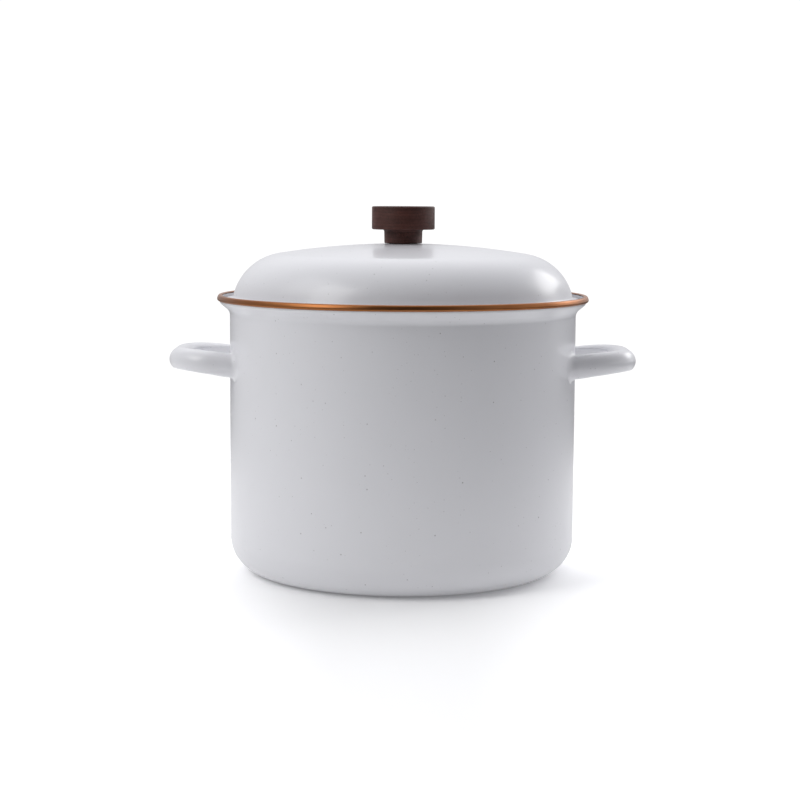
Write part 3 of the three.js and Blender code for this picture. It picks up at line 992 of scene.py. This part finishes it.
def make_floor():
    """A pale floor that fades into the white surroundings away from the pot, with painted light on
    its sides where the camera sees it.
    """
    steps = 96
    rim = [on_circle(FLOOR_R, 2 * math.pi * k / steps, 0) for k in range(steps)]
    floor = new_piece("floor", rim, [list(range(steps))])
    finish = Finish("floor_white", Roughness=0.9, Specular_IOR_Level=0.1)
    seen = finish.add("ShaderNodeLightPath").outputs["Is Camera Ray"]
    dull, bright = FLOOR_ALBEDO - FLOOR_GRAIN, FLOOR_ALBEDO + FLOOR_GRAIN
    real = finish.mix(finish.noise(3, 2), (dull,) * 3, (bright,) * 3)
    axes = finish.add("ShaderNodeSeparateXYZ")
    finish.join(finish.place, axes.inputs["Vector"])
    # painted light: seen by the camera, the floor is brighter towards its sides
    sideways = finish.math("ABSOLUTE", axes.outputs["X"], 0.0)
    painted_light_aside = finish.span(sideways, FLOOR_SIDE_FROM, FLOOR_SIDE_TO)
    seen_with_painted_light = finish.mix(painted_light_aside, (FLOOR_FRONT_ALBEDO,) * 3, (FLOOR_SIDE_PAINTED_LIGHT,) * 3)
    finish.drive(Base_Color=finish.mix(seen, real, seen_with_painted_light))

    distance = finish.add("ShaderNodeVectorMath", operation="LENGTH")
    finish.join(finish.place, distance.inputs[0])
    way = finish.add("ShaderNodeVectorMath", operation="NORMALIZE")
    finish.join(finish.place, way.inputs[0])
    level = finish.add("ShaderNodeMix")
    finish.join(seen, level.inputs["Factor"])
    finish.join(finish.lobes(way.outputs["Vector"], FAR_FLOOR), level.inputs["A"])
    level.inputs["B"].default_value = SEEN_WHITE
    glow = finish.add("ShaderNodeEmission")
    finish.join(level.outputs["Result"], glow.inputs["Strength"])
    unseen = finish.math("SUBTRACT", 1.0, seen)
    finish.shader.inputs["Emission Color"].default_value = (1, 1, 1, 1)
    finish.drive(Emission_Strength=finish.math("MULTIPLY", unseen, NEAR_GLOW))
    mixed = finish.add("ShaderNodeMixShader")
    away = finish.span(distance.outputs["Value"], FLOOR_NEAR_R, FLOOR_FAR_R)
    finish.join(away, mixed.inputs["Fac"])
    finish.join(finish.shader.outputs["BSDF"], mixed.inputs[1])
    finish.join(glow.outputs["Emission"], mixed.inputs[2])
    finish.join(mixed.outputs["Shader"], finish.tree.nodes["Material Output"].inputs["Surface"])
    floor.data.materials.append(finish.material)


def softbox(name, azimuth, elevation, size, radiance):
    """A rectangular light aimed at the pot."""
    turn, lift = math.radians(azimuth), math.radians(elevation)
    flat = math.cos(lift)
    way = Vector((math.sin(turn) * flat, -math.cos(turn) * flat, math.sin(lift)))
    data = bpy.data.lights.new(name, "AREA")
    data.shape = "RECTANGLE"
    data.size, data.size_y = size
    data.energy = radiance * math.pi * size[0] * size[1]
    light = bpy.data.objects.new(name, data)
    light.location = LIGHT_AIM + way * LIGHT_DISTANCE
    light.rotation_euler = way.to_track_quat("Z", "Y").to_euler()
    light.visible_camera = False
    bpy.context.scene.collection.objects.link(light)


make_camera()
make_world()
make_floor()
for light_name, light_setup in SOFTBOXES.items():
    softbox(light_name, *light_setup)
make_pot()
make_handles()
make_lid()
make_rack()
bpy.context.scene.view_settings.view_transform = "Standard"
